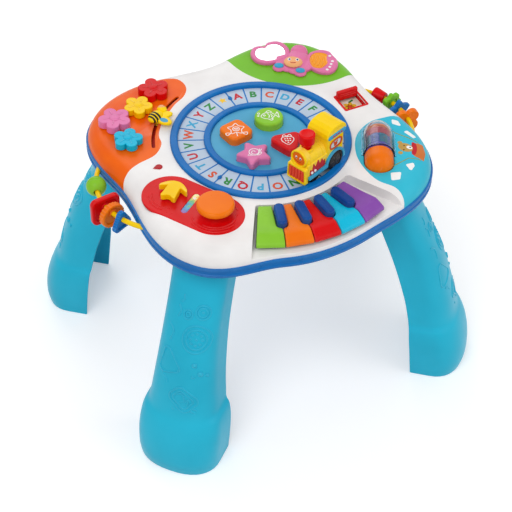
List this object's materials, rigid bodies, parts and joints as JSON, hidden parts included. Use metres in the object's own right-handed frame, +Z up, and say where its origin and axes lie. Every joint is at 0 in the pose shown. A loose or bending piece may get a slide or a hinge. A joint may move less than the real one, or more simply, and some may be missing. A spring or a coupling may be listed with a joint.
{
  "type": "musical activity table",
  "caption": "Free-standing toddler activity table with a circular train track, shape buttons, piano keys, spinners, a roller and bead rails on curved legs.",
  "frame": {"origin": "on the floor under the middle of the train track", "axes": "+Z up, -Y towards the piano keys, +X towards the roller's side, so a child at the piano looks along +Y"},
  "size_m": [0.5719, 0.5002, 0.449],
  "materials": {
    "white": "satin moulded",
    "blue": "satin moulded",
    "cyan": "satin moulded",
    "orange": "satin moulded",
    "red": "satin moulded",
    "green": "satin moulded",
    "yellow": "satin moulded",
    "pink": "satin moulded",
    "purple": "satin moulded",
    "label": "printed label",
    "sky_label": "printed label",
    "card": "printed card",
    "mirror": "polished plastic mirror",
    "clear": "clear moulded plastic",
    "lens": "clear and red lens plastic",
    "grey": "moulded grey",
    "black": "moulded black",
    "pads": "silicone",
    "board": "solder mask",
    "cells": "printed sleeve",
    "steel": "zinc plated"
  },
  "bodies": {
    "table": {"top_shell": "white", "bottom_shell": "blue", "orange_panel": "orange", "red_panel": "red", "green_panel": "green", "cyan_panel": "cyan", "track_tray": "blue", "letter_ring": "label", "centre_plate": "sky_label", "legs": "cyan", "left_rail": "yellow", "right_rail": "yellow", "butterfly": "pink", "butterfly_mirror": "mirror", "butterfly_insert": "orange", "roller_dome": "clear", "lenses": "lens", "picture_tray": "red", "picture_card": "card", "key_bed": "grey", "sharp_keys": "blue", "switch_pads": "pads", "main_board": "board", "speaker": "grey", "battery_box": "grey", "batteries": "cells", "battery_door": "blue", "screws": "steel"},
    "train": {"train_body": "yellow", "train_chassis": "cyan"},
    "chimney": {"train_chimney": "red"},
    "front_axle": {"front_wheels": "black"},
    "rear_axle": {"rear_wheels": "black"},
    "green_shape": {"green_button": "green"},
    "orange_shape": {"orange_button": "orange"},
    "pink_shape": {"pink_button": "pink"},
    "red_shape": {"red_button": "red"},
    "green_note": {"green_key": "green"},
    "orange_note": {"orange_key": "orange"},
    "red_note": {"red_key": "red"},
    "cyan_note": {"cyan_key": "cyan"},
    "purple_note": {"purple_key": "purple"},
    "red_spinner": {"red_flower": "red"},
    "yellow_spinner": {"yellow_flower": "yellow"},
    "pink_spinner": {"pink_flower": "pink"},
    "cyan_spinner": {"cyan_flower": "cyan"},
    "bee_slider": {"bee": "yellow"},
    "arrow": {"arrow_knob": "yellow"},
    "dial_wheel": {"dial": "orange", "colour_wheel": "card"},
    "roller_drum": {"roller": "orange"},
    "door": {"picture_door": "red"},
    "green_ball_bead": {"green_ball": "green"},
    "red_ring_bead": {"red_ring": "red"},
    "orange_ring_bead": {"orange_ring": "orange"},
    "blue_ring_bead": {"blue_ring": "blue"},
    "red_cone_bead": {"red_cone": "red"},
    "green_wave_bead": {"green_wave": "green"},
    "blue_star_bead": {"blue_star": "blue"},
    "orange_clover_bead": {"orange_clover": "orange"}
  },
  "joints": [
    {"name": "train_orbit", "type": "hinge", "parent": "table", "child": "train", "pos_m": [0, 0, 0.371], "axis": [0, 0, 1], "continuous": true},
    {"name": "rear_wheel_spin", "type": "hinge", "parent": "train", "child": "rear_axle", "pos_m": [0.05786, -0.08448, 0.3863], "axis": [0.3746, -0.9272, 0], "continuous": true},
    {"name": "front_wheel_spin", "type": "hinge", "parent": "train", "child": "front_axle", "pos_m": [0.01984, -0.09984, 0.3833], "axis": [0.3746, -0.9272, 0], "continuous": true},
    {"name": "chimney_press", "type": "slide", "parent": "train", "child": "chimney", "axis": [0, 0, -1], "range_m": [0, 0.003], "stiffness_N_per_m": 300, "springref_m": -0.001},
    {"name": "green_button_press", "type": "slide", "parent": "table", "child": "green_shape", "axis": [0, 0, -1], "range_m": [0, 0.003], "stiffness_N_per_m": 400, "springref_m": -0.001},
    {"name": "orange_button_press", "type": "slide", "parent": "table", "child": "orange_shape", "axis": [0, 0, -1], "range_m": [0, 0.003], "stiffness_N_per_m": 400, "springref_m": -0.001},
    {"name": "pink_button_press", "type": "slide", "parent": "table", "child": "pink_shape", "axis": [0, 0, -1], "range_m": [0, 0.003], "stiffness_N_per_m": 400, "springref_m": -0.001},
    {"name": "red_button_press", "type": "slide", "parent": "table", "child": "red_shape", "axis": [0, 0, -1], "range_m": [0, 0.003], "stiffness_N_per_m": 400, "springref_m": -0.001},
    {"name": "green_key_press", "type": "hinge", "parent": "table", "child": "green_note", "pos_m": [-0.0589, -0.14012, 0.363], "axis": [0.9219, -0.3875, 0], "range_deg": [0, 2.6], "stiffness_Nm_per_rad": 0.3, "springref_deg": -2.86},
    {"name": "orange_key_press", "type": "hinge", "parent": "table", "child": "orange_note", "pos_m": [-0.03212, -0.14857, 0.363], "axis": [0.9774, -0.2113, 0], "range_deg": [0, 2.6], "stiffness_Nm_per_rad": 0.3, "springref_deg": -2.86},
    {"name": "red_key_press", "type": "hinge", "parent": "table", "child": "red_note", "pos_m": [-0.00424, -0.15194, 0.363], "axis": [0.9996, -0.0279, 0], "range_deg": [0, 2.6], "stiffness_Nm_per_rad": 0.3, "springref_deg": -2.86},
    {"name": "cyan_key_press", "type": "hinge", "parent": "table", "child": "cyan_note", "pos_m": [0.02378, -0.15013, 0.363], "axis": [0.9877, 0.1564, 0], "range_deg": [0, 2.6], "stiffness_Nm_per_rad": 0.3, "springref_deg": -2.86},
    {"name": "purple_key_press", "type": "hinge", "parent": "table", "child": "purple_note", "pos_m": [0.05099, -0.14319, 0.363], "axis": [0.9421, 0.3355, 0], "range_deg": [0, 2.6], "stiffness_Nm_per_rad": 0.3, "springref_deg": -2.86},
    {"name": "red_flower_spin", "type": "hinge", "parent": "table", "child": "red_spinner", "pos_m": [-0.09802, 0.15996, 0.372], "axis": [0, 0, 1], "continuous": true},
    {"name": "yellow_flower_spin", "type": "hinge", "parent": "table", "child": "yellow_spinner", "pos_m": [-0.13397, 0.13303, 0.372], "axis": [0, 0, 1], "continuous": true},
    {"name": "pink_flower_spin", "type": "hinge", "parent": "table", "child": "pink_spinner", "pos_m": [-0.17695, 0.11712, 0.372], "axis": [0, 0, 1], "continuous": true},
    {"name": "cyan_flower_spin", "type": "hinge", "parent": "table", "child": "cyan_spinner", "pos_m": [-0.17598, 0.07003, 0.372], "axis": [0, 0, 1], "continuous": true},
    {"name": "bee_slide", "type": "hinge", "parent": "table", "child": "bee_slider", "pos_m": [0, 0, 0.372], "axis": [0, 0, 1], "range_deg": [-22, 21]},
    {"name": "arrow_turn", "type": "hinge", "parent": "table", "child": "arrow", "pos_m": [-0.163, -0.058, 0.372], "axis": [0, 0, 1], "range_deg": [-50, 50]},
    {"name": "dial_spin", "type": "hinge", "parent": "table", "child": "dial_wheel", "pos_m": [-0.126, -0.117, 0.372], "axis": [0, 0, 1], "continuous": true},
    {"name": "roller_spin", "type": "hinge", "parent": "table", "child": "roller_drum", "pos_m": [0.1414, -0.0915, 0.373], "axis": [0.4695, 0.8829, 0], "continuous": true},
    {"name": "door_slide", "type": "slide", "parent": "table", "child": "door", "axis": [0, -1, 0], "range_m": [0, 0.03]},
    {"name": "green_ball_slide", "type": "hinge", "parent": "table", "child": "green_ball_bead", "pos_m": [-0.13873, 0.004, 0.343], "axis": [0, 0, 1], "range_deg": [-5, 7]},
    {"name": "red_ring_slide", "type": "hinge", "parent": "table", "child": "red_ring_bead", "pos_m": [-0.13873, 0.004, 0.343], "axis": [0, 0, 1], "range_deg": [-4, 1.5]},
    {"name": "orange_ring_slide", "type": "hinge", "parent": "table", "child": "orange_ring_bead", "pos_m": [-0.13873, 0.004, 0.343], "axis": [0, 0, 1], "range_deg": [-1.5, 2.5]},
    {"name": "blue_ring_slide", "type": "hinge", "parent": "table", "child": "blue_ring_bead", "pos_m": [-0.13873, 0.004, 0.343], "axis": [0, 0, 1], "range_deg": [-2, 0.8]},
    {"name": "red_cone_slide", "type": "hinge", "parent": "table", "child": "red_cone_bead", "pos_m": [0.12973, -0.004, 0.343], "axis": [0, 0, 1], "range_deg": [-1.6, 0.5]},
    {"name": "green_wave_slide", "type": "hinge", "parent": "table", "child": "green_wave_bead", "pos_m": [0.12973, -0.004, 0.343], "axis": [0, 0, 1], "range_deg": [-1.5, 1.6]},
    {"name": "blue_star_slide", "type": "hinge", "parent": "table", "child": "blue_star_bead", "pos_m": [0.12973, -0.004, 0.343], "axis": [0, 0, 1], "range_deg": [-3.5, 2]},
    {"name": "orange_clover_slide", "type": "hinge", "parent": "table", "child": "orange_clover_bead", "pos_m": [0.12973, -0.004, 0.343], "axis": [0, 0, 1], "range_deg": [-1.2, 4]}
  ],
  "couplings": [
    {"joint": "rear_wheel_spin", "follows": "train_orbit", "ratio": -6.6667},
    {"joint": "front_wheel_spin", "follows": "train_orbit", "ratio": -8.3333}
  ]
}
